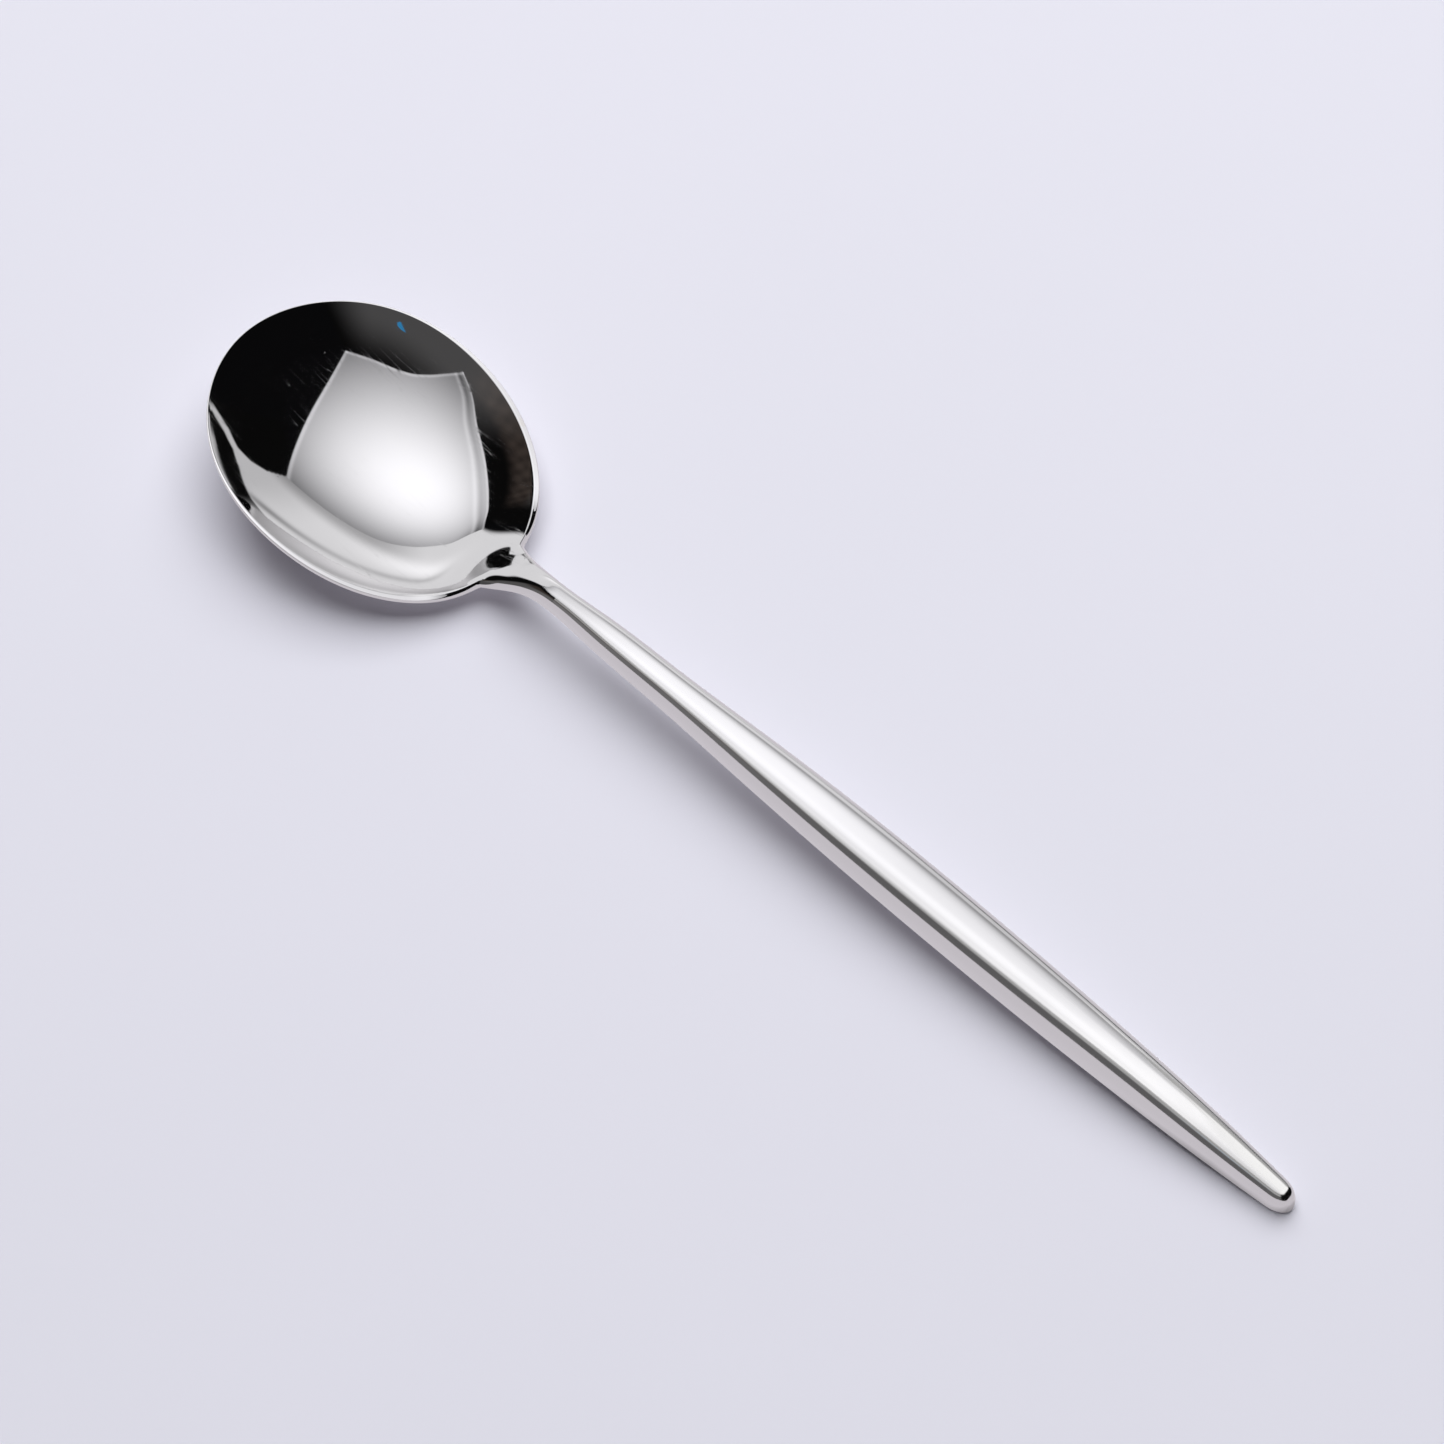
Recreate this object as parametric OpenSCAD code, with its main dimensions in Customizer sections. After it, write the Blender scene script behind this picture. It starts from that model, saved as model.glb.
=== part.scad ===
// Soup spoon of polished stainless steel: a pressed round bowl with a tang,
// a solid half-round handle with a blind socket, and the filler metal between
// them. It lies on a table at z = 0, bowl towards -X, handle end towards +X.
// Millimetres.

/* [Overall] */
// Length from the front of the bowl to the end of the handle
spoon_l = 210; // [195:1:225]

/* [Bowl] */
// Width of the bowl across its rim
bowl_w = 45.1; // [40:0.1:48]
// Depth of the hollow below the rim's middle line
bowl_d = 7.9; // [6.5:0.1:9]
// Wall thickness of the bowl near the handle; the lip is ground level there
wall_t = 1.2; // [1:0.1:1.6]
// Wall thickness at the bowl's front, as a share of that
lip_front = 0.43; // [0.35:0.01:0.8]
// How much steeper the wall gets towards the rim
wall_curl = 0.25; // [0:0.05:0.5]
// Rise of the rim from the middle of the bowl to its front
rim_tilt = 3.9; // [2:0.1:5]
// Drop of the rim's ends below its sides
rim_bow = 1.5; // [0.5:0.1:2]

/* [Handle] */
// Greatest width of the handle
handle_w = 8.9; // [8:0.1:10]
// Greatest thickness of the handle
handle_t = 5.9; // [5:0.1:6.5]
// Squareness of the handle's section: 2 is half an ellipse, higher is boxier
handle_sq = 3.1; // [2:0.1:4]
// Radius of the handle's lower edges
edge_r = 0.55; // [0.4:0.05:0.7]

/* [Joint] */
// Diameter of the tang on the bowl's neck
tang_d = 2; // [1.6:0.1:2.2]
// Length of the tang
tang_l = 10; // [6:0.5:12]
// Thickness of the filler metal around the tang
filler_t = 0.2; // [0.1:0.05:0.3]

/* [Hidden] */

// Reference stations along X, for a 210 mm spoon
x_front = -104.92;   // front of the bowl's middle surface
x_end   = 105;       // end of the handle
x_root  = -50;       // where the bowl's outline would close
x_seam  = -38;       // where bowl and handle meet
x_mid   = (x_front + x_root) / 2;
x_half  = (x_root - x_front) / 2;
kx      = spoon_l / 210;

half_w  = bowl_w / 2 - 0.13;
under_cut = (1 - lip_front - 0.31875) / 0.625;   // how much of the lower part is gone at the front
rim_z   = bowl_d + wall_t + 1.8;       // height of the rim beside the bowl's middle
lip_k   = 1.25;                        // the wall's slope stretches the lip along it

// Handle: control values of smooth curves, one every 15 mm from x = -60
ctl_x0 = -60;
ctl_dx = 15;
ctl_w  = [10.2, 0.99, 2.88, 2.85, 3.7, 4.25, 4.5, 4.45, 4.25, 3.75, 3.2, 2.0, 0.5];    // half width
ctl_h  = [2.21, 3.0, 4.15, 4.5, 5.05, 5.35, 5.65, 5.8, 5.95, 5.9, 5.2, 3.9, 2.6];     // thickness
ctl_b  = [6.3, 6.5, 6.45, 5.85, 5.35, 4.8, 4.0, 3.05, 2.15, 1.35, 0.5, -0.25, -0.6]; // underside
w_gain = handle_w / 8.9;
h_gain = handle_t / 5.9;
neck_sq = 2.97;

// Loft of the neck, from the bowl's section to the handle's
loft_a  = -60.6;    // its start in the middle
loft_b  = -38.3;    // its end in the middle
loft_da = 3.74;      // how much later it starts at the edges
loft_db = -0.47;     // how much later it ends at the edges
edge_pow = 1.01;    // how quickly that changes from the edges inwards
w_mix   = 8.5;      // roundness of the corner between the bowl's outline and the neck's
crown   = -0.18;     // swell of the middle halfway, and its lean towards the handle
crown_t = -0.93;
flank   = -0.32;    // the same for the edges
flank_t = 0.88;

// Number of columns in half a section, and of those in the lip
cols = 9;
lips = 3;

// ---- curves ----
function pick(c, i) = c[max(0, min(len(c) - 1, i))];
function curve(c, x) =
    let (u = max(0, min(len(c) - 1.001, (x - ctl_x0) / ctl_dx)), i = floor(u), f = u - i)
    (pow(1 - f, 3) * pick(c, i - 1) + (3 * pow(f, 3) - 6 * f * f + 4) * pick(c, i)
     + (-3 * pow(f, 3) + 3 * f * f + 3 * f + 1) * pick(c, i + 1) + pow(f, 3) * pick(c, i + 2)) / 6;
function ease(x, a, b) = let (t = max(0, min(1, (x - a) / (b - a)))) t * t * t * (t * (6 * t - 15) + 10);

// Thickness above and below the middle surface: the wall gets finer towards the front
function thin(x) = let (t = max(0, min(1, (-62 - x) / 43))) t * t * (3 - 2 * t);
function over(x) = 0.375 * wall_t * (1 - 0.85 * thin(x));
function under(x) = 0.625 * wall_t * (1 - under_cut * thin(x));

// Squareness of the section at x: the neck is rounder than the handle
function sq(x) = neck_sq + (handle_sq - neck_sq) * ease(x, -46, 5);

// Square of the outline's half width at x
function egg(t) = 1 - 0.026 * t + 0.066 * t * t + 0.056 * pow(t, 3) - 0.085 * pow(t, 4);
function bowl_w2(x) =
    let (t = (x - x_mid) / x_half)
    x > x_root ? -2 * half_w * half_w / x_half * egg(1) * (x - x_root) : half_w * half_w * (1 - t * t) * egg(t);
function nose(x, a, n) = x > a ? 1 - pow(min(1, (x - a) / (x_end - a)), n) : 1;
function bar_w2(x) = pow(w_gain * curve(ctl_w, x), 2) * nose(x, 101.4, 2.6);
function w2(x) =
    x < x_mid ? bowl_w2(x) :
    let (a = bowl_w2(x), b = bar_w2(x), k = w_mix, h = max(0, k - abs(a - b)))
    max(a, b) + h * h * h / (6 * k * k);
function dw2(x) = (w2(x + 0.001) - w2(x - 0.001)) / 0.002;

// Middle surface of the bowl
function rim_line(x) = let (t = (x + 85) / 27) rim_z - rim_tilt * t - rim_bow * t * t;
function dish(q) = let (r = 1 - q) 1 - (r + wall_curl * r * r) / (1 + wall_curl);
function mid_z(x, y) = rim_line(x) - bowl_d * dish((w2(x) - y * y) / (half_w * half_w));
function rise(x, y) =
    let (e = 0.002)
    [-(mid_z(x + e, y) - mid_z(x - e, y)) / (2 * e), -(mid_z(x, y + e) - mid_z(x, y - e)) / (2 * e), 1];

// Distance to the outline, and the round profile of an edge of radius r
function inset(x, y) =
    let (g = dw2(x) / 2)
    max(0, w2(x) - y * y) / (2 * sqrt(g * g + y * y) + 1e-9);
function rounded(d, r) = let (q = min(1, d / r)) sqrt(max(0, 1 - (1 - q) * (1 - q)));

// A closed section has 4 * cols columns: the upper surface from +Y to -Y, then the lower one back.
// Number of a column counted from its edge, its side, and whether it is on the upper surface
function col(k) = k <= cols ? k : k <= 2 * cols ? 2 * cols - k : k <= 3 * cols ? k - 2 * cols : 4 * cols - k;
function side(k) = k <= cols || k > 3 * cols ? 1 : -1;
function upper(k) = k <= 2 * cols ? 1 : -1;

// Column k of the bowl's section at x: place across the half width, then offsets along X, Y and Z
function bowl_at(x, k) =
    let (s = max(1e-9, w2(x)), g = dw2(x) / 2, h = over(x), b = under(x), j = col(k),
         d_top = min(1.05 * b / lip_k, 0.98 * s / (2 * abs(g) + 1e-6)),
         yb = function (d) sqrt(max(0, s + 2 * d * d - 2 * d * sqrt(d * d + s + g * g))),
         y = side(k) * (j <= lips ? yb(d_top * (1 - cos(90 * j / lips))) : yb(d_top) * (cols - j) / (cols - lips)),
         n = rise(x, y), u = norm(n), d = inset(x, y), lvl = d * sqrt(max(0.16, u * u - 1)) * u,
         near = max(0, 1 - abs(h - lvl) / (0.33 * h)),
         o = (upper(k) > 0 ? min(h, lvl) - 0.0825 * h * near * near : -b * rounded(d * lip_k, b)) * n / u)
    [y / sqrt(s), o[0], o[1], o[2] + mid_z(x, y)];

// The same for the handle's section
function bar_at(x, k) =
    let (s = max(1e-9, w2(x)), p = sq(x),
         y = side(k) * sqrt(s) * pow(max(0, cos(90 * col(k) / cols)), 2 / p),
         e = max(0, 1 - pow(min(1, y * y / s), p / 2)),
         up = (h_gain * curve(ctl_h, x) - edge_r) * pow(e, 1 / p) * sqrt(max(0, nose(x, 102.9, 2.4))))
    [y / sqrt(s), 0, 0, curve(ctl_b, x) + edge_r + (upper(k) > 0 ? up : -edge_r * rounded(inset(x, y), edge_r))];

// The same anywhere: between the two sections, a loft that takes on their slopes and bends
function ring_at(x, k) =
    let (f = pow(max(0, cos(90 * col(k) / cols)), 2 * edge_pow), xa = loft_a + loft_da * f, xb = loft_b + loft_db * f)
    x <= xa ? bowl_at(x, k) : x >= xb ? bar_at(x, k) :
    let (e = 0.25, l = xb - xa, t = (x - xa) / l, t2 = t * t, t3 = t2 * t, t4 = t3 * t, t5 = t4 * t,
         a0 = bowl_at(xa - e, k), a1 = bowl_at(xa, k), a2 = bowl_at(xa + e, k),
         b0 = bar_at(xb - e, k), b1 = bar_at(xb, k), b2 = bar_at(xb + e, k),
         swell = (crown + crown_t * (2 * t - 1)) * (1 - f) + (flank + flank_t * (2 * t - 1)) * f)
    (1 - 10 * t3 + 15 * t4 - 6 * t5) * a1 + (t - 6 * t3 + 8 * t4 - 3 * t5) * l / (2 * e) * (a2 - a0)
    + (0.5 * t2 - 1.5 * t3 + 1.5 * t4 - 0.5 * t5) * l * l / (e * e) * (a2 - 2 * a1 + a0)
    + (0.5 * t3 - t4 + 0.5 * t5) * l * l / (e * e) * (b2 - 2 * b1 + b0)
    + (-4 * t3 + 7 * t4 - 3 * t5) * l / (2 * e) * (b2 - b0) + (10 * t3 - 15 * t4 + 6 * t5) * b1
    + [0, 0, 0, 64 * pow(t * (1 - t), 3) * swell];

// Point of column k in the section at x
function skin(x, k) = let (f = ring_at(x, k)) [(x + f[1]) * kx, sqrt(max(0, w2(x))) * f[0] + f[2], f[3]];
function section(x) = [for (k = [0 : 4 * cols - 1]) skin(x, k)];
ring = 4 * cols;

// Solid through sections at xs, ending in a point or in a flat end
module loft(xs, point_first, point_last) {
    inner = [for (i = [point_first ? 1 : 0 : len(xs) - (point_last ? 2 : 1)]) xs[i]];
    n = len(inner);
    pts = concat([for (x = inner) each section(x)],
                 point_first ? [skin(xs[0], cols)] : [],
                 point_last ? [skin(xs[len(xs) - 1], cols)] : []);
    first = n * ring;
    last = first + (point_first ? 1 : 0);
    sides = [for (i = [0 : n - 2]) for (k = [0 : ring - 1]) let (a = i * ring + k, b = i * ring + (k + 1) % ring)
             each [[a, a + ring, b], [b, a + ring, b + ring]]];
    end_a = point_first ? [for (k = [0 : ring - 1]) [first, k, (k + 1) % ring]]
                        : [[for (k = [0 : ring - 1]) k]];
    o = (n - 1) * ring;
    end_b = point_last ? [for (k = [0 : ring - 1]) [last, o + (k + 1) % ring, o + k]]
                       : [[for (k = [ring - 1 : -1 : 0]) o + k]];
    polyhedron(points = pts, faces = concat(end_a, sides, end_b), convexity = 6);
}

bowl_xs = concat(
    [for (i = [0 : 20]) x_front + (-80 - x_front) * pow(i / 20, 2)],
    [for (i = [1 : 8]) -80 + 2.75 * i],
    [for (i = [1 : 20]) -58 + i]);
handle_xs = concat(
    [for (i = [0 : 27]) x_seam + (98 - x_seam) * i / 27],
    [for (i = [1 : 12]) 98 + (x_end - 98) * sin(90 * i / 12)]);

tang_z = curve(ctl_b, x_seam) + 0.48 * h_gain * curve(ctl_h, x_seam);

// Round bar along +X from the seam
module bar(r, x0, l) {
    translate([x_seam * kx + x0, 0, tang_z]) rotate([0, 90, 0]) cylinder(h = l, r = r, $fn = 48);
}

// The table's own space, which the spoon's two resting places are ground flat to
module ground() {
    translate([-150, -40, -10]) cube([300, 80, 10]);
}

module bowl() {
    color("silver")
    union() {
        difference() {
            loft(bowl_xs, true, false);
            ground();
        }
        bar(tang_d / 2, -2, tang_l + 2);
    }
}

module handle() {
    color("silver")
    difference() {
        loft(handle_xs, false, true);
        ground();
        bar(tang_d / 2 + filler_t, -1, tang_l + filler_t + 1);
    }
}

module neck_braze() {
    color("lightgoldenrodyellow")
    difference() {
        bar(tang_d / 2 + filler_t, 0, tang_l + filler_t);
        bar(tang_d / 2, -1, tang_l + 1);
    }
}

bowl();
handle();
neck_braze();
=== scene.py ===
import math

import bpy
import numpy as np
from mathutils import Matrix, Vector


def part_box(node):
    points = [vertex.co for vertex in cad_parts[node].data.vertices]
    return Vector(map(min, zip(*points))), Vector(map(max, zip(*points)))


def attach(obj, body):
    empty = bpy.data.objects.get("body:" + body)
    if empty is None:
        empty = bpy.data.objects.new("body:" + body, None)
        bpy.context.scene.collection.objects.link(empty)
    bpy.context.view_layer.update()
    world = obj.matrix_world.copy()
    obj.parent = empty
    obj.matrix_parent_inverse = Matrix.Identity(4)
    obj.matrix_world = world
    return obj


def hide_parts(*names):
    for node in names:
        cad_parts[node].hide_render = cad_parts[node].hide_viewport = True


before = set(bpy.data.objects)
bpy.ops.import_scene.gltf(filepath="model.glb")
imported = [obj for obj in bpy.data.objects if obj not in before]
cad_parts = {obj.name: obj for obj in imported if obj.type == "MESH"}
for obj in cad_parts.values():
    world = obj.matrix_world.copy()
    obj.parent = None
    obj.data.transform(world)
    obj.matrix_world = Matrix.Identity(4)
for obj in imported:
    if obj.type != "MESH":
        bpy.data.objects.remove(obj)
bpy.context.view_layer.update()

# ---------------------------------------------------------------- the spoon's surface, in millimetres
# The same curves as the solid: the bowl's sections, the handle's sections, and a smooth loft between them.
X_FRONT, X_END, X_ROOT, X_SEAM = -104.92, 105.0, -50.0, -38.0
X_MID, X_HALF = (X_FRONT + X_ROOT) / 2, (X_ROOT - X_FRONT) / 2
BOWL_W, BOWL_D, WALL_T, WALL_CURL = 45.1, 7.9, 1.2, 0.25
RIM_TILT, RIM_BOW, EDGE_R = 3.9, 1.5, 0.55
HALF_W, RIM_Z, LIP_K = BOWL_W / 2 - 0.13, BOWL_D + WALL_T + 1.8, 1.25
TANG_R, TANG_L, FILLER_T = 1.0, 10.0, 0.2
HANDLE_SQ, NECK_SQ = 3.1, 2.97
CTL_W = [10.2, 0.99, 2.88, 2.85, 3.7, 4.25, 4.5, 4.45, 4.25, 3.75, 3.2, 2.0, 0.5]
CTL_H = [2.21, 3.0, 4.15, 4.5, 5.05, 5.35, 5.65, 5.8, 5.95, 5.9, 5.2, 3.9, 2.6]
CTL_B = [6.3, 6.5, 6.45, 5.85, 5.35, 4.8, 4.0, 3.05, 2.15, 1.35, 0.5, -0.25, -0.6]
# Loft of the neck: where it starts and ends in the middle, how much later at the edges, and how it swells between
LOFT_A, LOFT_B, LOFT_DA, LOFT_DB, EDGE_POW, W_MIX = -60.6, -38.3, 3.74, -0.47, 1.01, 8.5
CROWN, CROWN_T, FLANK, FLANK_T = -0.18, -0.93, -0.32, 0.88
# Faint hollows left by polishing on top of the neck: x, y on both sides, reach along and across, depth
HOLLOWS = [(-47.0, 1.6, 1.5, 1.2, 0.05), (-45.3, 2.3, 1.7, 1.4, 0.03)]


def curve(c, x):
    c = np.asarray(c, float)
    u = np.clip((np.asarray(x, float) + 60) / 15, 0, len(c) - 1.001)
    i = np.floor(u).astype(int)
    f = u - i
    at = lambda k: c[np.clip(k, 0, len(c) - 1)]
    return ((1 - f) ** 3 * at(i - 1) + (3 * f**3 - 6 * f * f + 4) * at(i)
            + (-3 * f**3 + 3 * f * f + 3 * f + 1) * at(i + 1) + f**3 * at(i + 2)) / 6


def ease(x, a, b):
    t = np.clip((x - a) / (b - a), 0, 1)
    return t**3 * (t * (6 * t - 15) + 10)


def squareness(x):
    return NECK_SQ + (HANDLE_SQ - NECK_SQ) * ease(x, -46, 5)


def wall(x):
    """Thickness above and below the middle surface: the wall gets finer towards the front."""
    t = np.clip((-62 - x) / 43, 0, 1)
    f = t * t * (3 - 2 * t)
    return 0.375 * WALL_T * (1 - 0.85 * f), 0.625 * WALL_T * (1 - 0.4 * f)


def egg(t):
    return 1 - 0.026 * t + 0.066 * t * t + 0.056 * t**3 - 0.085 * t**4


def bowl_w2(x):
    t = (x - X_MID) / X_HALF
    return np.where(x > X_ROOT, -2 * HALF_W**2 / X_HALF * egg(1) * (x - X_ROOT), HALF_W**2 * (1 - t * t) * egg(t))


def nose(x, a, n):
    return np.where(x > a, 1 - np.clip((x - a) / (X_END - a), 0, 1) ** n, 1.0)


def w2(x):
    a, b, k = bowl_w2(x), curve(CTL_W, x) ** 2 * nose(x, 101.4, 2.6), W_MIX
    h = np.maximum(0, k - np.abs(a - b))
    return np.where(x < X_MID, a, np.maximum(a, b) + h**3 / (6 * k * k))


def dw2(x):
    return (w2(x + 0.001) - w2(x - 0.001)) / 0.002


def mid_z(x, y):
    t = (x + 85) / 27
    r = 1 - (w2(x) - y * y) / HALF_W**2
    return (RIM_Z - RIM_TILT * t - RIM_BOW * t * t) - BOWL_D * (1 - (r + WALL_CURL * r * r) / (1 + WALL_CURL))


def inset(x, y):
    g = dw2(x) / 2
    return np.maximum(0, w2(x) - y * y) / (2 * np.sqrt(g * g + y * y) + 1e-9)


def rounded(d, r):
    q = np.minimum(1, d / r)
    return np.sqrt(np.maximum(0, 1 - (1 - q) ** 2))


# Columns of a closed section: the upper surface from +Y to -Y, then the lower one back; 0 is an edge, COLS the middle
COLS, LIPS = 45, 15
RING = 4 * COLS
half = np.arange(COLS + 1)
COL = np.concatenate([half, half[-2::-1], half[1:], half[-2:0:-1]])
SIDE = np.concatenate([np.ones(COLS + 1), -np.ones(2 * COLS), np.ones(COLS - 1)])
UPPER = np.arange(RING) <= 2 * COLS
EDGE = np.maximum(0, np.cos(np.pi / 2 * COL / COLS)) ** (2 * EDGE_POW)


def bowl_ring(x):
    """Bowl section with a level lip: each column's place across the width, and how far its point is off that place."""
    s, g = np.maximum(w2(x), 1e-9), dw2(x) / 2
    over, under = wall(x)
    top = np.minimum(1.05 * under / LIP_K, 0.98 * s / (2 * np.abs(g) + 1e-6))
    yb = lambda d: np.sqrt(np.maximum(0, s + 2 * d * d - 2 * d * np.sqrt(d * d + s + g * g)))
    y = SIDE * np.where(COL <= LIPS, yb(top * (1 - np.cos(np.pi / 2 * np.minimum(COL, LIPS) / LIPS))),
                        yb(top) * (COLS - COL) / (COLS - LIPS))
    e = 0.002
    n = np.stack([-(mid_z(x + e, y) - mid_z(x - e, y)) / (2 * e),
                  -(mid_z(x, y + e) - mid_z(x, y - e)) / (2 * e), np.ones_like(y)], -1)
    steep = np.linalg.norm(n, axis=-1)
    n /= steep[..., None]
    d = inset(x, y)
    level = d * np.sqrt(np.maximum(0.16, steep**2 - 1)) * steep
    near = np.maximum(0, 1 - np.abs(over - level) / (0.33 * over))
    off = np.where(UPPER, np.minimum(over, level) - 0.0825 * over * near**2, -under * rounded(d * LIP_K, under))[..., None] * n
    off[..., 2] += mid_z(x, y)
    return np.concatenate([(y / np.sqrt(s))[..., None], off], -1)


def bar_ring(x):
    """Handle section, the same way."""
    s, p = np.maximum(w2(x), 1e-9), squareness(x)
    y = SIDE * np.sqrt(s) * np.maximum(0, np.cos(np.pi / 2 * COL / COLS)) ** (2 / p)
    e = np.maximum(0, 1 - np.minimum(1, y * y / s) ** (p / 2))
    up = (curve(CTL_H, x) - EDGE_R) * e ** (1 / p) * np.sqrt(np.maximum(0, nose(x, 102.9, 2.4)))
    ring = np.zeros(y.shape + (4,))
    ring[..., 0] = y / np.sqrt(s)
    ring[..., 3] = curve(CTL_B, x) + EDGE_R + np.where(UPPER, up, -EDGE_R * rounded(inset(x, y), EDGE_R))
    return ring


def ends(ring, x, run):
    """A ring at x with its slope and its bend along the loft."""
    e = 0.25
    r0, r1, r2 = ring(x - e), ring(x), ring(x + e)
    return r1, (r2 - r0) / (2 * e) * run, (r2 - 2 * r1 + r0) / (e * e) * run * run


def sections(xs):
    """Closed sections at xs."""
    x = np.repeat(np.asarray(xs, float)[:, None], RING, 1)
    xa, xb = (LOFT_A + LOFT_DA * EDGE)[None, :], (LOFT_B + LOFT_DB * EDGE)[None, :]
    t, run = np.clip((x - xa) / (xb - xa), 0, 1), (xb - xa)[..., None]
    a0, a1, a2 = ends(bowl_ring, xa, run)
    b0, b1, b2 = ends(bar_ring, xb, run)
    u = t[..., None]
    f = ((1 - 10 * u**3 + 15 * u**4 - 6 * u**5) * a0 + (u - 6 * u**3 + 8 * u**4 - 3 * u**5) * a1
         + (0.5 * u**2 - 1.5 * u**3 + 1.5 * u**4 - 0.5 * u**5) * a2 + (0.5 * u**3 - u**4 + 0.5 * u**5) * b2
         + (-4 * u**3 + 7 * u**4 - 3 * u**5) * b1 + (10 * u**3 - 15 * u**4 + 6 * u**5) * b0)
    f[..., 3] += 64 * (t * (1 - t)) ** 3 * ((CROWN + CROWN_T * (2 * t - 1)) * (1 - EDGE) + (FLANK + FLANK_T * (2 * t - 1)) * EDGE)
    f = np.where((x < xa)[..., None], bowl_ring(x), np.where((x > xb)[..., None], bar_ring(x), f))
    p = np.stack([x, np.sqrt(np.maximum(0, w2(x))) * f[..., 0], 0 * x], -1) + f[..., 1:]
    for x0, y0, reach, across, depth in HOLLOWS:
        p[..., 2] -= np.where(UPPER, depth * np.exp(-((x - x0) / reach) ** 2 - ((np.abs(p[..., 1]) - y0) / across) ** 2), 0)
    return p


def grid_normals(p, first=None, last=None):
    """Normals of a ring grid from its own central differences."""
    along = np.empty_like(p)
    along[1:-1] = p[2:] - p[:-2]
    along[0] = p[1] - (p[0] if first is None else first)
    along[-1] = (p[-1] if last is None else last) - p[-2]
    around = np.roll(p, -1, 1) - np.roll(p, 1, 1)
    n = np.cross(around, along)
    return n / np.maximum(np.linalg.norm(n, axis=-1), 1e-12)[..., None]


class Shell:
    """Collects points, faces and a normal for each face corner of one closed mesh."""

    def __init__(self):
        self.co, self.faces, self.nor = [], [], []

    def add(self, points):
        start = len(self.co)
        self.co += [tuple(p) for p in points]
        return start

    def face(self, idx, normals):
        self.faces.append(tuple(idx))
        self.nor += [tuple(n) for n in normals]

    def mesh(self, name, lo, hi):
        co = np.array(self.co) / 1000
        co[:, 2] = np.maximum(co[:, 2], 0)
        co = np.clip(co, np.array(lo), np.array(hi))
        me = bpy.data.meshes.new(name)
        me.from_pydata([tuple(c) for c in co], [], self.faces)
        me.validate()
        me.polygons.foreach_set("use_smooth", [True] * len(me.polygons))
        me.normals_split_custom_set(self.nor)
        ob = bpy.data.objects.new(name, me)
        bpy.context.scene.collection.objects.link(ob)
        return ob


TANG_Z = float(curve(CTL_B, X_SEAM) + 0.48 * curve(CTL_H, X_SEAM))


def circle_at(ring, x, r):
    """Points of a circle round the tang's axis, one for each point of ring, at the same angles."""
    a = np.unwrap(np.arctan2(ring[:, 2] - TANG_Z, ring[:, 1]))
    return np.stack([np.full(len(a), x), r * np.cos(a), TANG_Z + r * np.sin(a)], -1), a


def build(name, xs, point, joint_first, joint_r, joint_l, box):
    """One closed half of the spoon: its skin, its seam face, and the tang or the socket of that face."""
    sh = Shell()
    p = sections(xs)
    n_rows = len(xs)
    nor = grid_normals(p, None if joint_first else point, point if joint_first else None)
    flat = p[..., 2] < 1e-6
    nor[flat] = (0, 0, -1)
    base = sh.add(p.reshape(-1, 3))
    vid = lambda i, k: base + i * RING + k % RING
    for i in range(n_rows - 1):
        for k in range(RING):
            m = (k + 1) % RING
            sh.face((vid(i, k), vid(i, m), vid(i + 1, m), vid(i + 1, k)),
                    (nor[i, k], nor[i, m], nor[i + 1, m], nor[i + 1, k]))
    tip = sh.add([point])
    row = n_rows - 1 if joint_first else 0
    tip_n = np.array([1.0 if joint_first else -1.0, 0, 0])
    for k in range(RING):
        m = (k + 1) % RING
        if joint_first:
            sh.face((vid(row, k), vid(row, m), tip), (nor[row, k], nor[row, m], tip_n))
        else:
            sh.face((vid(row, m), vid(row, k), tip), (nor[row, m], nor[row, k], tip_n))
    row = 0 if joint_first else n_rows - 1
    ring = p[row]
    seam_n = np.array([-1.0 if joint_first else 1.0, 0, 0])
    steps = 12
    rims, ang = [], None
    for s in range(steps + 1):
        c, ang = circle_at(ring, X_SEAM + joint_l * s / steps, joint_r)
        rims.append(sh.add(c))
    radial = np.stack([0 * ang, np.cos(ang), np.sin(ang)], -1) * (-1 if joint_first else 1)
    flip = (lambda f, q: (f[::-1], q[::-1])) if joint_first else (lambda f, q: (f, q))
    for k in range(RING):
        m = (k + 1) % RING
        sh.face(*flip((vid(row, k), vid(row, m), rims[0] + m, rims[0] + k), (seam_n,) * 4))
        for s in range(steps):
            sh.face(*flip((rims[s] + k, rims[s] + m, rims[s + 1] + m, rims[s + 1] + k),
                          (radial[k], radial[m], radial[m], radial[k])))
    hub = sh.add([(X_SEAM + joint_l, 0, TANG_Z)])
    for k in range(RING):
        m = (k + 1) % RING
        sh.face(*flip((rims[-1] + k, rims[-1] + m, hub), (seam_n,) * 3))
    return sh.mesh(name, *box)


bowl_xs = np.concatenate([
    X_FRONT + (-80 - X_FRONT) * (np.arange(1, 121) / 120) ** 2,
    -80 + 22 * np.arange(1, 53) / 52,
    -58 + 20 * np.arange(1, 81) / 80])
handle_xs = np.concatenate([
    X_SEAM + (98 - X_SEAM) * np.arange(0, 201) / 200,
    98 + (X_END - 98) * np.sin(np.pi / 2 * np.arange(1, 48) / 48)])
front = np.array([X_FRONT, 0.0, float(mid_z(np.float64(X_FRONT), 0.0))])
end = np.array([X_END, 0.0, float(curve(CTL_B, X_END)) + EDGE_R])

spoon_bowl = build("spoon_bowl", bowl_xs, front, False, TANG_R, TANG_L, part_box("bowl"))
spoon_handle = build("spoon_handle", handle_xs, end, True, TANG_R + FILLER_T, TANG_L + FILLER_T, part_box("handle"))


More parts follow.
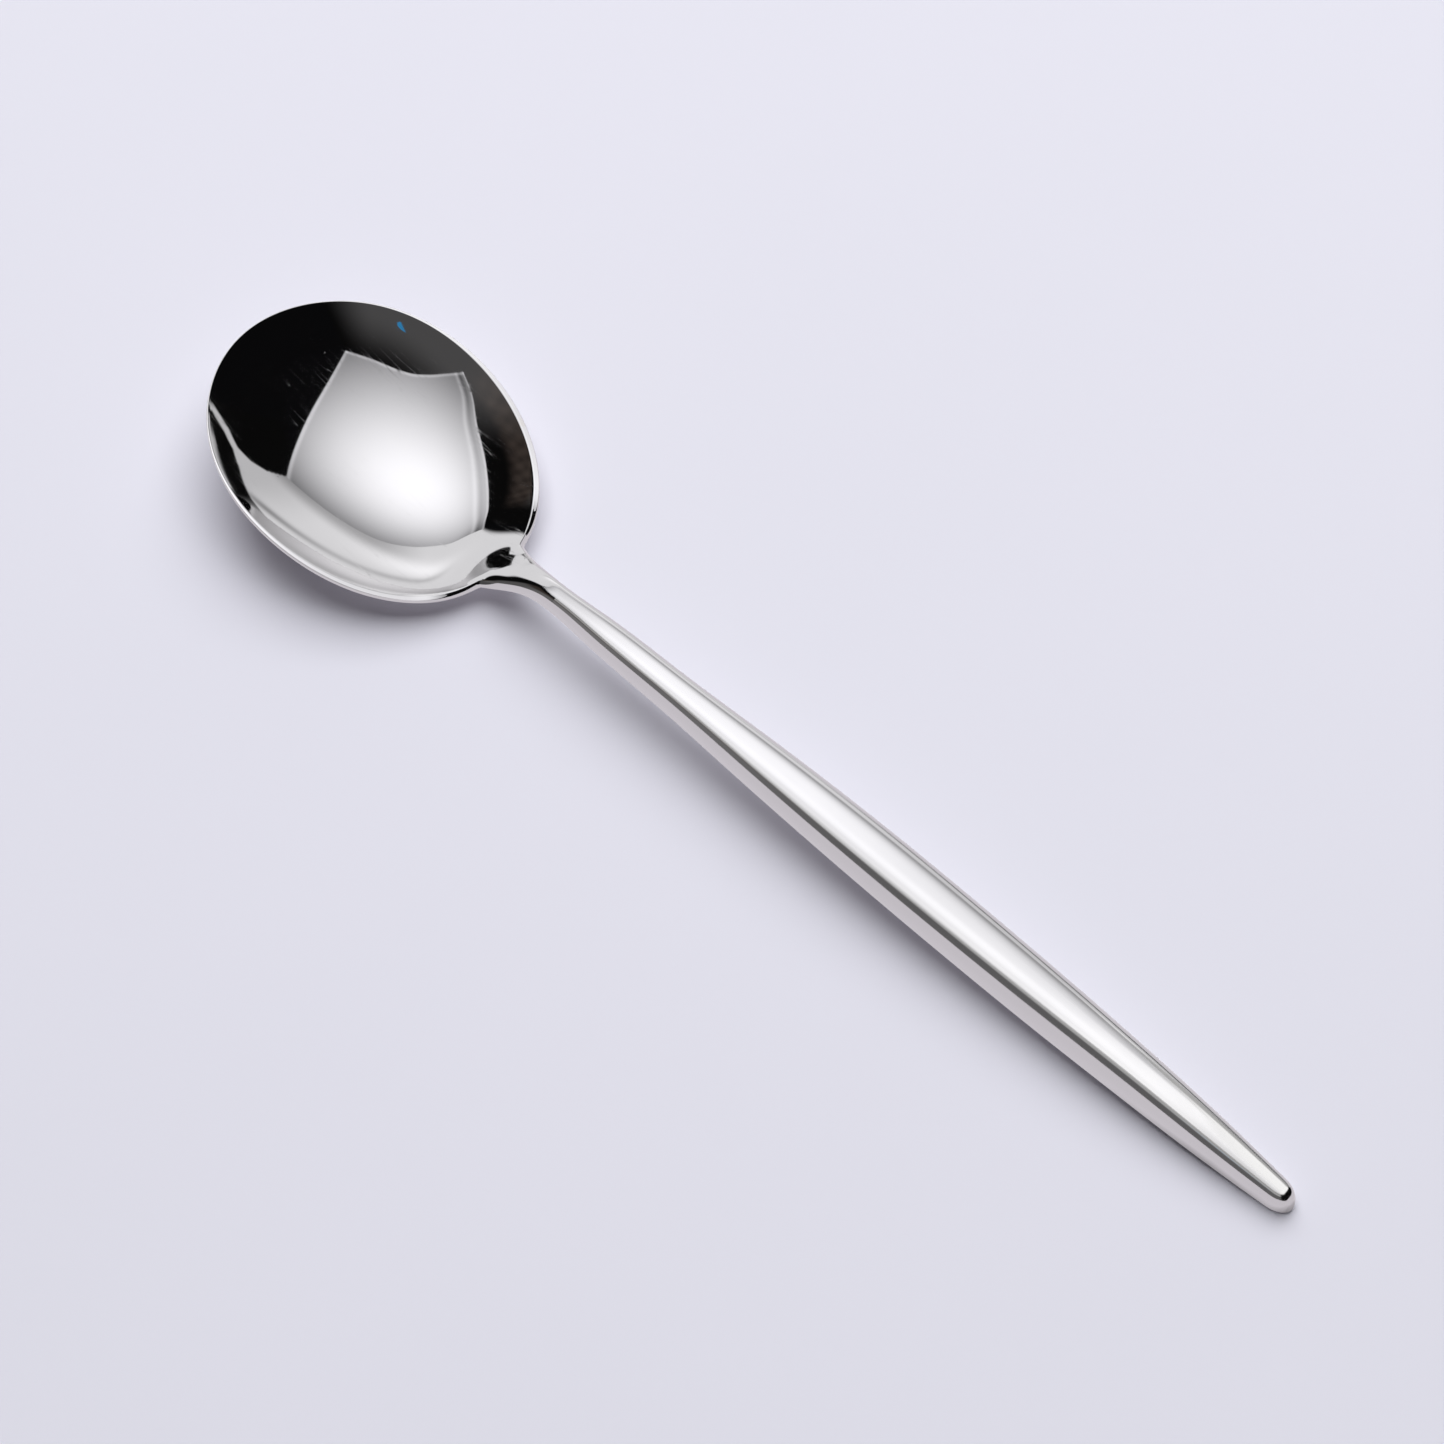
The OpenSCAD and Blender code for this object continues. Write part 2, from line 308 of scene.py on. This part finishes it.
# ---------------------------------------------------------------- materials
class Nodes:
    """Small helper to write a node tree line by line."""

    def __init__(self, tree):
        self.t = tree

    def new(self, kind, **props):
        n = self.t.nodes.new(kind)
        for k, v in props.items():
            setattr(n, k, v)
        return n

    def link(self, a, b):
        self.t.links.new(a, b)

    def value(self, op, a, b=None, clamp=False):
        n = self.new("ShaderNodeMath", operation=op, use_clamp=clamp)
        for i, v in enumerate((a, b)):
            if v is None:
                continue
            if isinstance(v, (int, float)):
                n.inputs[i].default_value = v
            else:
                self.link(v, n.inputs[i])
        return n.outputs[0]

    def place(self, source, scale=(1, 1, 1), turn=(0, 0, 0), shift=(0, 0, 0)):
        n = self.new("ShaderNodeMapping")
        n.inputs["Location"].default_value = shift
        n.inputs["Rotation"].default_value = turn
        n.inputs["Scale"].default_value = scale
        self.link(source, n.inputs["Vector"])
        return n.outputs[0]

    def noise(self, vec, scale, detail=2.0, rough=0.5, distort=0.0):
        n = self.new("ShaderNodeTexNoise")
        n.inputs["Scale"].default_value = scale
        n.inputs["Detail"].default_value = detail
        n.inputs["Roughness"].default_value = rough
        n.inputs["Distortion"].default_value = distort
        self.link(vec, n.inputs["Vector"])
        return n.outputs["Fac"]

    def band(self, v, lo, hi, to_lo=0.0, to_hi=1.0):
        n = self.new("ShaderNodeMapRange", clamp=True)
        for k, x in zip(("From Min", "From Max", "To Min", "To Max"), (lo, hi, to_lo, to_hi)):
            n.inputs[k].default_value = x
        self.link(v, n.inputs["Value"])
        return n.outputs["Result"]

    def ramp(self, v, stops):
        n = self.new("ShaderNodeValToRGB")
        el = n.color_ramp.elements
        while len(el) < len(stops):
            el.new(0.5)
        for e, (pos, col) in zip(el, stops):
            e.position = pos
            e.color = (*col, 1)
        self.link(v, n.inputs["Fac"])
        return n.outputs["Color"]


def new_material(name):
    m = bpy.data.materials.new(name)
    m.use_nodes = True
    m.node_tree.nodes.clear()
    return m, Nodes(m.node_tree)


def hairlines(nd, vec, turn, along, across, width, seed, patch):
    """Long thin lines: the level line of a stretched noise, kept only in patches. 1 on a line."""
    v = nd.place(vec, (along, across, along), turn, (seed, 2 * seed, -seed))
    line = nd.value("ABSOLUTE", nd.value("SUBTRACT", nd.noise(v, 1.0, 1.0, 0.4), 0.5))
    line = nd.band(line, 0.0, width, 1.0, 0.0)
    keep = nd.band(nd.noise(nd.place(vec, (1, 1, 1), turn, (seed, seed, seed)), patch, 2.0), 0.52, 0.66)
    return nd.value("MULTIPLY", line, keep)


def spot(nd, at, x, y, rx, ry, turn=0.0):
    """1 in the middle of an oval place on the spoon seen from above, 0 outside it; millimetres."""
    v = nd.new("ShaderNodeMapping", vector_type="TEXTURE")
    v.inputs["Location"].default_value = (x / 1000, y / 1000, 0)
    v.inputs["Rotation"].default_value = (0, 0, turn)
    v.inputs["Scale"].default_value = (rx / 1000, ry / 1000, 1000)
    nd.link(at, v.inputs["Vector"])
    n = nd.new("ShaderNodeVectorMath", operation="LENGTH")
    nd.link(v.outputs[0], n.inputs[0])
    return nd.band(n.outputs["Value"], 0.35, 1.0, 1.0, 0.0)


def steel(name, scratch):
    """Polished steel: mirror-bright in the bowl, softer along the handle, with hairlines, smudges and dust."""
    m, nd = new_material(name)
    out = nd.new("ShaderNodeOutputMaterial")
    bs = nd.new("ShaderNodeBsdfPrincipled")
    bs.inputs["Metallic"].default_value = 1.0
    tc = nd.new("ShaderNodeTexCoord").outputs["Object"]
    axes = nd.new("ShaderNodeSeparateXYZ")
    nd.link(tc, axes.inputs[0])
    finish = nd.band(axes.outputs["X"], -0.050, -0.026, 0.030, 0.125)

    lines = hairlines(nd, tc, (0, 0, 0.9), 30, 900, 0.007, 3.1, 90)
    lines = nd.value("MAXIMUM", lines, hairlines(nd, tc, (0, 0, -0.5), 40, 1100, 0.007, 7.7, 70))
    lines = nd.value("MAXIMUM", lines, hairlines(nd, tc, (0, 0, 2.2), 25, 800, 0.006, 12.3, 110))
    cloud = nd.noise(tc, 55, 4.0, 0.6)
    fine = nd.noise(tc, 2600, 2.0)

    smudge = nd.noise(nd.place(tc, (1, 1, 1), (0, 0, 0.4), (4, 1, 0)), 260, 4.0, 0.65, 0.8)
    smudge = nd.band(smudge, 0.44, 0.66)
    where = nd.value("MULTIPLY", spot(nd, tc, -66, 18.5, 12, 4.5, -0.45), 0.45)
    where = nd.value("MAXIMUM", where, nd.value("MULTIPLY", spot(nd, tc, -100, 7.5, 4, 2.6, 0.6), 0.5))
    where = nd.value("MAXIMUM", where, nd.value("MULTIPLY", spot(nd, tc, -98, -4, 6, 8, 0.2), 0.6))
    smudge = nd.value("MULTIPLY", smudge, where)

    specks = nd.new("ShaderNodeTexVoronoi", feature="F1")
    specks.inputs["Scale"].default_value = 330
    nd.link(tc, specks.inputs["Vector"])
    dust = nd.band(specks.outputs["Distance"], 0.04, 0.07, 1.0, 0.0)
    dust = nd.value("MULTIPLY", dust, nd.band(nd.noise(tc, 160, 1.0), 0.60, 0.64))

    r = nd.value("MULTIPLY", finish, nd.band(cloud, 0.3, 0.75, 0.85, 1.2))
    r = nd.value("ADD", r, nd.value("MULTIPLY", smudge, 0.16))
    r = nd.value("ADD", r, nd.value("MULTIPLY", lines, scratch))
    r = nd.value("ADD", r, nd.value("MULTIPLY", dust, 0.45), clamp=True)
    nd.link(r, bs.inputs["Roughness"])

    tint = nd.value("ADD", nd.value("MULTIPLY", cloud, 0.45), nd.value("MULTIPLY", smudge, 0.55))
    nd.link(nd.ramp(tint, [(0.15, (0.650, 0.643, 0.640)), (0.35, (0.632, 0.626, 0.624)), (0.8, (0.610, 0.560, 0.500))]),
            bs.inputs["Base Color"])

    height = nd.value("SUBTRACT", nd.value("MULTIPLY", fine, 0.10), nd.value("MULTIPLY", lines, 0.8))
    bump = nd.new("ShaderNodeBump")
    bump.inputs["Strength"].default_value = 0.03
    bump.inputs["Distance"].default_value = 0.00002
    nd.link(height, bump.inputs["Height"])
    nd.link(bump.outputs["Normal"], bs.inputs["Normal"])
    nd.link(bs.outputs["BSDF"], out.inputs["Surface"])
    return m


def filler(name):
    """The filler metal of the joint: dull pale brass with flow marks and a darker skin."""
    m, nd = new_material(name)
    out = nd.new("ShaderNodeOutputMaterial")
    bs = nd.new("ShaderNodeBsdfPrincipled")
    bs.inputs["Metallic"].default_value = 1.0
    tc = nd.new("ShaderNodeTexCoord").outputs["Object"]
    flow = nd.noise(nd.place(tc, (300, 900, 900)), 1.0, 4.0, 0.6, 0.5)
    nd.link(nd.ramp(flow, [(0.3, (0.52, 0.43, 0.25)), (0.55, (0.78, 0.70, 0.48)), (0.8, (0.84, 0.77, 0.58))]),
            bs.inputs["Base Color"])
    nd.link(nd.band(flow, 0.3, 0.7, 0.5, 0.28), bs.inputs["Roughness"])
    bump = nd.new("ShaderNodeBump")
    bump.inputs["Strength"].default_value = 0.4
    bump.inputs["Distance"].default_value = 0.00005
    nd.link(flow, bump.inputs["Height"])
    nd.link(bump.outputs["Normal"], bs.inputs["Normal"])
    nd.link(bs.outputs["BSDF"], out.inputs["Surface"])
    return m


spoon_bowl.data.materials.append(steel("polished_steel_bowl", 0.22))
spoon_handle.data.materials.append(steel("polished_steel_handle", 0.10))
for ob, node in ((spoon_bowl, "bowl"), (spoon_handle, "handle")):
    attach(ob, "root")
    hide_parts(node)
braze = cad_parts["neck_braze"]
braze_mat = filler("braze_filler_metal")
for s in braze.material_slots:
    s.material = braze_mat


# ---------------------------------------------------------------- camera
THETA, PSI = math.radians(60.1907), math.radians(42.5057)
U = Vector((math.cos(PSI), math.sin(PSI), 0))
V = Vector((-math.sin(PSI), math.cos(PSI), 0))
Z = Vector((0, 0, 1))
forward = math.cos(THETA) * V - math.sin(THETA) * Z
up = math.sin(THETA) * V + math.cos(THETA) * Z
target = Vector((-0.0088817, 0.0042275, 0))
DIST, PX_PER_MM = 0.75, 6.65594
cam_data = bpy.data.cameras.new("camera")
cam_data.sensor_fit = "HORIZONTAL"
cam_data.sensor_width = 36.0
cam_data.lens = 36.0 * PX_PER_MM * DIST * 1000 / 1444
cam_data.clip_start, cam_data.clip_end = 0.01, 50
cam = bpy.data.objects.new("camera", cam_data)
rot = Matrix((U, up, -forward)).transposed()
cam.matrix_world = Matrix.Translation(target - DIST * forward) @ rot.to_4x4()
bpy.context.scene.collection.objects.link(cam)
bpy.context.scene.camera = cam


# ---------------------------------------------------------------- stage
def sheet(name, co, faces, values=None):
    """A staged mesh; values are written to a point attribute that its material reads."""
    me = bpy.data.meshes.new(name)
    me.from_pydata([tuple(c) for c in co], [], faces)
    if values is not None:
        at = me.color_attributes.new("glow", "FLOAT_COLOR", "POINT")
        at.data.foreach_set("color", np.concatenate([values, np.ones((len(values), 1))], 1).ravel())
    me.update()
    ob = bpy.data.objects.new(name, me)
    bpy.context.scene.collection.objects.link(ob)
    return ob


def rows(n, m):
    return [(i * m + j, i * m + j + 1, (i + 1) * m + j + 1, (i + 1) * m + j) for i in range(n - 1) for j in range(m - 1)]


def glow_material(name, clear=False):
    m, nd = new_material(name)
    out = nd.new("ShaderNodeOutputMaterial")
    em = nd.new("ShaderNodeEmission")
    at = nd.new("ShaderNodeVertexColor", layer_name="glow")
    nd.link(at.outputs["Color"], em.inputs["Color"])
    if clear:
        both = nd.new("ShaderNodeAddShader")
        nd.link(em.outputs["Emission"], both.inputs[0])
        nd.link(nd.new("ShaderNodeBsdfTransparent").outputs["BSDF"], both.inputs[1])
        nd.link(both.outputs["Shader"], out.inputs["Surface"])
    else:
        nd.link(em.outputs["Emission"], out.inputs["Surface"])
    return m


def only(ob, **on):
    for k in ("camera", "diffuse", "glossy", "transmission", "volume_scatter", "shadow"):
        setattr(ob, "visible_" + k, on.get(k, False))


glow = glow_material("studio_glow")
veil = glow_material("studio_veil", True)
handle_only = bpy.data.collections.new("handle_only")
handle_only.objects.link(spoon_handle)
CENTRE = Vector((-0.077, 0, 0.003))
SOFT_H = 0.85


def over(gx, gy, h=SOFT_H):
    return CENTRE + h * (gx * U + gy * V + Z)


def line_through(points, n):
    """n points on a smooth line through given ones."""
    p = np.array(points, float)
    s = np.concatenate([[0], np.cumsum(np.linalg.norm(np.diff(p, axis=0), axis=1))])
    s /= s[-1]
    m = np.gradient(p, s, axis=0)
    t = 0.5 - 0.5 * np.cos(np.pi * np.arange(n) / (n - 1))
    i = np.clip(np.searchsorted(s, t, "right") - 1, 0, len(s) - 2)
    h = (s[i + 1] - s[i])[:, None]
    u = (t - s[i])[:, None] / h
    return ((2 * u**3 - 3 * u * u + 1) * p[i] + (u**3 - 2 * u * u + u) * h * m[i]
            + (3 * u * u - 2 * u**3) * p[i + 1] + (u**3 - u * u) * h * m[i + 1])


def near_to(d, at, width):
    return np.exp(-((d - at) / width) ** 2)


def step(v, lo, hi):
    t = np.clip((v - lo) / (hi - lo), 0, 1)
    return t * t * (3 - 2 * t)


# Soft box: a sagging cloth over the spoon, brightest where its lamp stands behind it, with a seam along its border
n_s = 181
near_e = line_through([(-0.85, -0.54), (-0.62, -0.46), (-0.42, -0.39), (-0.30, -0.36), (-0.21, -0.36), (-0.05, -0.39), (0.12, -0.41)], n_s)
left_e = line_through([(-0.85, -0.54), (-0.80, -0.39), (-0.65, -0.13), (-0.59, 0.08), (-0.54, 0.31), (-0.52, 0.57), (-0.61, 0.95)], n_s)
far_e = line_through([(-0.61, 0.95), (-0.38, 0.88), (-0.08, 0.95), (0.14, 1.09), (0.37, 1.20), (0.56, 1.18), (0.72, 1.12), (0.87, 1.06)], n_s)
right_e = line_through([(0.12, -0.41), (0.28, -0.10), (0.42, 0.16), (0.58, 0.47), (0.77, 0.85), (0.87, 1.06)], n_s)
ab = 0.5 - 0.5 * np.cos(np.pi * np.arange(n_s) / (n_s - 1))
a, b = ab[None, :, None], ab[:, None, None]
g = ((1 - b) * near_e[None] + b * far_e[None] + (1 - a) * left_e[:, None] + a * right_e[:, None]
     - (1 - a) * (1 - b) * near_e[0] - a * (1 - b) * near_e[-1] - (1 - a) * b * far_e[0] - a * b * far_e[-1])
a, b = a[..., 0], b[..., 0]
gx, gy = g[..., 0], g[..., 1]
cx, cy, turn = gx + 0.024, gy - 0.362, 0.855
px, py = cx * math.cos(turn) + cy * math.sin(turn), cy * math.cos(turn) - cx * math.sin(turn)
lum = np.maximum(0.3, 1.976 / (1 + (px / 0.801) ** 2 + (py / 0.514) ** 2) ** 1.104 - 0.30)
d_near, d_left, d_right = b * 1.45, a * 1.05, (1 - a) * 1.05
lum = lum + 0.30 * near_to(d_near, 0.012, 0.010) * (gx < 0.2) + 0.30 * near_to(d_left, 0.012, 0.012)
lum = lum + 0.22 * near_to(d_left, 0.125, 0.020) - 0.16 * near_to(d_left, 0.075, 0.025) + 0.32 * near_to(d_right, 0.010, 0.010)
lum = lum * (1 - 0.8 * near_to(gx, -0.215, 0.012) * near_to(d_near, 0.0, 0.02))
softbox = sheet("softbox", [over(*q) for q in g.reshape(-1, 2).tolist()], rows(n_s, n_s),
                np.stack([0.95 * lum, 0.948 * lum, 0.985 * lum], -1).reshape(-1, 3))
softbox.data.materials.append(glow)
only(softbox, glossy=True)

# What only the handle looks at: the lamp's other end behind the soft box, and the cloth's pale hem on the near side
n_w = 121
co, val = [], []
for i in range(n_w):
    gy = -1.1 + 2.9 * i / (n_w - 1)
    edge = float(np.interp(gy, [-0.41, -0.10, 0.16, 0.47, 0.85, 1.06, 1.8], [0.12, 0.28, 0.42, 0.58, 0.77, 0.87, 1.2]))
    for j in range(n_w):
        gx = -1.4 + 3.4 * j / (n_w - 1)
        hem = -0.676 * gx - 0.737 * gy
        lamp_end = float(np.interp(gy - 1.17 * gx, [-0.55, -0.40, -0.255, -0.02, 0.085, 0.245], [0.3, 0.5, 0.75, 0.4, 0.2, 0.0]))
        lamp_end = lamp_end * (1 - step(gy, 0.24, 0.36))
        beyond = step(gx - edge, -0.02, 0.04)
        lum = lamp_end * (1 - beyond) + (1.4 - 0.8 * step(gy, 0.4, 0.55)) * beyond
        lum = lum * (1 - step(gx - edge, 0.5, 0.9)) * step(gy, -0.6, -0.2) * (1 - step(gy, 1.4, 1.8))
        lum = lum + 0.4 * step(hem, 0.05, 0.4) * (1 - step(hem, 0.80, 1.2)) * (1 - step(gx, 0.1, 0.4)) * step(gx, -1.3, -1.0)
        co.append(over(gx, gy, 0.84))
        val.append((lum, lum, lum))
wing = sheet("softbox_wing", co, rows(n_w, n_w), np.array(val))
wing.data.materials.append(veil)
only(wing, glossy=True)
wing.light_linking.receiver_collection = handle_only


# Sweep: the pale wall behind the table, as far round as it reaches; angles in degrees, az from the picture's right
def ring_sheet(name, az, zen, r, glow_at, material=glow):
    az, zen = np.meshgrid(az, zen)
    lum = glow_at(az, zen)
    ar, zr = np.radians(az), np.radians(zen)
    co = [CENTRE + r * (math.cos(p) * U + math.sin(p) * V + Z / math.tan(q)) if r < 2
          else CENTRE + r * (math.sin(q) * (math.cos(p) * U + math.sin(p) * V) + math.cos(q) * Z)
          for p, q in zip(ar.ravel(), zr.ravel())]
    ob = sheet(name, co, rows(*az.shape), lum.reshape(-1, 3))
    ob.data.materials.append(material)
    only(ob, glossy=True)
    return ob


def sweep_glow(az, zen):
    low = 1 - 0.45 * (1 - step(zen, 53, 62)) * (1 - step(az, 70, 90))
    lum = low * (0.72 + 0.28 * step(az, 50, 64)) + 0.40 * near_to(zen, 63, 7) * near_to(az, 88, 15)
    lum = lum - (0.30 + 0.25 * (1 - step(az, 58, 72))) * near_to(zen, 81 - 0.28 * (az - 57), 2.5) * step(az, 50, 60) * (1 - step(az, 90, 110))
    top = np.interp(az, [26, 28, 31, 35, 41, 45, 48, 50, 53], [68.5, 68, 67, 66, 67, 65, 61, 55, 40])
    upper = np.interp(az, [26, 32, 36, 42, 48, 54, 57, 62], [70.5, 70, 69, 70, 74, 80, 83, 86])
    lower = np.interp(az, [26, 34, 41, 48, 55, 60, 64], [71, 73, 77, 82, 87, 91, 93])
    crescent = step(zen - upper, -0.4, 0.4) * (1 - step(zen - lower, -0.4, 0.4)) * (1 - step(az, 56, 65))
    lum = lum * step(zen - top, -0.5, 0.5) * (1 - crescent) * (1 - step(az, 121, 124)) * step(az, 26, 30)
    lum = np.maximum(lum, 0.004)
    return np.stack([lum, lum * 0.997, lum * 1.025], -1)


ring_sheet("sweep", np.linspace(26, 124, 197), np.linspace(40, 90, 201), 1.6, sweep_glow)


# The room in front of the table, to the left: dark grey, with a dim brown wall further round
def room_glow(az, zen):
    lum = 0.004 + 0.089 * step(az, 180, 212) * (1 - step(az, 258, 286)) * step(zen, 20, 44)
    reach = step(az, 140, 156) * (1 - step(az, 198, 214))
    wall = 0.036 * step(zen, 40, 48) * (1 - step(zen, 53, 64)) * reach
    wall = wall * (1 + 0.35 * np.sin(az * 0.9 + 0.16 * zen) * np.sin(0.55 * zen - 0.2 * az))
    low = 0.11 * step(zen, 53, 64) * reach
    return np.stack([lum + 1.2 * wall + low, lum * 0.98 + 0.92 * wall + 0.97 * low, lum * 1.0 + 0.78 * wall + 0.98 * low], -1)


ring_sheet("room", np.linspace(128, 286, 159), np.linspace(18, 90, 73), 2.6, room_glow)

# A small blue window in it
n_b = 17
co, val = [], []
for i in range(n_b):
    t = math.pi * (i / (n_b - 1) - 0.5)
    for w in (0.0, 1.0):
        co.append(over(-0.44 + (0.006 + 0.05 * w) * math.cos(t), -0.80 + 0.055 * math.sin(t)))
        val.append((0.04, 0.30, 0.62))
window = sheet("window", co, rows(n_b, 2), np.array(val))
window.data.materials.append(glow)
only(window, glossy=True)


def near_glow(az, zen):
    lum = 0.06 * step(az, 178, 200) * (1 - step(az, 262, 285)) * step(zen, 22, 40)
    return np.stack([lum, lum * 0.99, lum * 1.02], -1)


ring_sheet("room_near", np.linspace(176, 288, 60), np.linspace(20, 90, 40), 2.4, near_glow, veil).light_linking.receiver_collection = handle_only

# Floor
S = 6.0
floor = sheet("floor", [(-S, -S, 0), (S, -S, 0), (S, S, 0), (-S, S, 0)], [(0, 1, 2, 3)])
m, nd = new_material("pale_floor")
out = nd.new("ShaderNodeOutputMaterial")
bs = nd.new("ShaderNodeBsdfPrincipled")
bs.inputs["Roughness"].default_value = 0.9
bs.inputs["Specular IOR Level"].default_value = 0.0
tc = nd.new("ShaderNodeTexCoord").outputs["Object"]
tone = nd.noise(tc, 9, 3.0, 0.5)
nd.link(nd.ramp(tone, [(0.3, (0.795, 0.790, 0.880)), (0.7, (0.805, 0.798, 0.890))]), bs.inputs["Base Color"])
clear = nd.new("ShaderNodeBsdfTransparent")
mix = nd.new("ShaderNodeMixShader")
nd.link(nd.new("ShaderNodeNewGeometry").outputs["Backfacing"], mix.inputs["Fac"])
# Far from the spoon the floor runs into the pale backdrop
away = nd.new("ShaderNodeVectorMath", operation="LENGTH")
nd.link(tc, away.inputs[0])
reach = nd.new("ShaderNodeMapRange", interpolation_type="SMOOTHSTEP")
reach.inputs["From Min"].default_value = 0.5
reach.inputs["From Max"].default_value = 1.6
nd.link(away.outputs["Value"], reach.inputs["Value"])
pale = nd.new("ShaderNodeEmission")
pale.inputs["Color"].default_value = (0.74, 0.735, 0.825, 1)
whole = nd.new("ShaderNodeMixShader")
nd.link(reach.outputs["Result"], whole.inputs["Fac"])
nd.link(bs.outputs["BSDF"], whole.inputs[1])
nd.link(pale.outputs["Emission"], whole.inputs[2])
nd.link(whole.outputs["Shader"], mix.inputs[1])
nd.link(clear.outputs["BSDF"], mix.inputs[2])
nd.link(mix.outputs["Shader"], out.inputs["Surface"])
m.cycles.emission_sampling = "NONE"
floor.data.materials.append(m)
floor.visible_glossy = False

# The floor as the spoon mirrors it, darker in the spoon's own shadow
far = [0.2, 0.35, 0.6, 1.0, 1.6, 2.5, 4.0, S]
near_x = [k / 1000 for k in range(-136, 137, 4)]
near_y = [k / 1000 for k in range(-60, -6, 2)] + [k / 1000 for k in range(-6, 7)] + [k / 1000 for k in range(8, 61, 2)]
xs = np.array([-f for f in reversed(far)] + near_x + far)
ys = np.array([-f for f in reversed(far)] + near_y + far)
fx, fy = [g.ravel() for g in np.meshgrid(xs, ys, indexing="ij")]
half = np.interp(fx, [-0.05, -0.03, 0.03, 0.09, 0.105], [0.0025, 0.0028, 0.0044, 0.0032, 0.0015])
bar = np.interp(fx, [-0.02, 0.008, 0.036, 0.062, 0.086, 0.105], [0, 0.1, 0.38, 0.65, 0.92, 0.97]) * (1 - step(fx, 0.102, 0.108))
dim = np.maximum(0.6 * (1 - step(np.hypot((fx + 0.077) / 0.026, (fy + 0.003) / 0.021), 0.5, 1.1)),
                 bar * (1 - step(np.abs(fy + 0.0003) / half, 0.5, np.interp(fx, [0.06, 0.09], [1.05, 1.55]))))
co = [(a, b, 0) for a, b in zip(fx, fy)]
mirror_floor = sheet("mirror_floor", co, rows(len(xs), len(ys)), (1 - dim)[:, None] * np.array([0.825, 0.785, 0.845]))
mirror_floor.data.materials.append(glow)
only(mirror_floor, glossy=True)

# Light for the table, from the places of the soft box and of the sweep
def lamp(name, place, aim, wide, high, energy):
    light = bpy.data.lights.new(name, "AREA")
    light.shape = "RECTANGLE"
    light.size, light.size_y, light.energy = wide, high, energy
    ob = bpy.data.objects.new(name, light)
    back = (place - aim).normalized()
    side = U.copy()
    ob.matrix_world = Matrix.Translation(place) @ Matrix((side, back.cross(side).normalized(), back)).transposed().to_4x4()
    bpy.context.scene.collection.objects.link(ob)
    ob.visible_camera = False
    ob.visible_glossy = False
    return ob


lamp("softbox_light", over(0.10, 0.46, 1.7), over(0.10, 0.46, 0.0), 2.3, 2.3, 52.5)
lamp("sweep_light", CENTRE + 1.5 * V + 0.25 * U + 0.75 * Z, CENTRE + 0.1 * U, 2.2, 1.1, 4.0)

# World: a dim studio
world = bpy.data.worlds.new("studio")
world.use_nodes = True
world.node_tree.nodes["Background"].inputs["Color"].default_value = (0.004, 0.004, 0.0045, 1)
world.node_tree.nodes["Background"].inputs["Strength"].default_value = 1.0
bpy.context.scene.world = world

# A pale backdrop all round, seen directly only, so that low views have no dark horizon
n_a, n_z = 64, 24
co = []
for i in range(n_z):
    el = math.radians(-88 + 176 * i / (n_z - 1))
    for j in range(n_a):
        az = 2 * math.pi * j / (n_a - 1)
        co.append((5.5 * math.cos(el) * math.cos(az), 5.5 * math.cos(el) * math.sin(az), 5.5 * math.sin(el)))
backdrop = sheet("backdrop", co, rows(n_z, n_a), np.tile([0.74, 0.735, 0.825], (len(co), 1)))
backdrop.data.materials.append(glow)
only(backdrop, camera=True)

bpy.context.scene.view_settings.view_transform = "Standard"
bpy.context.scene.view_settings.look = "None"
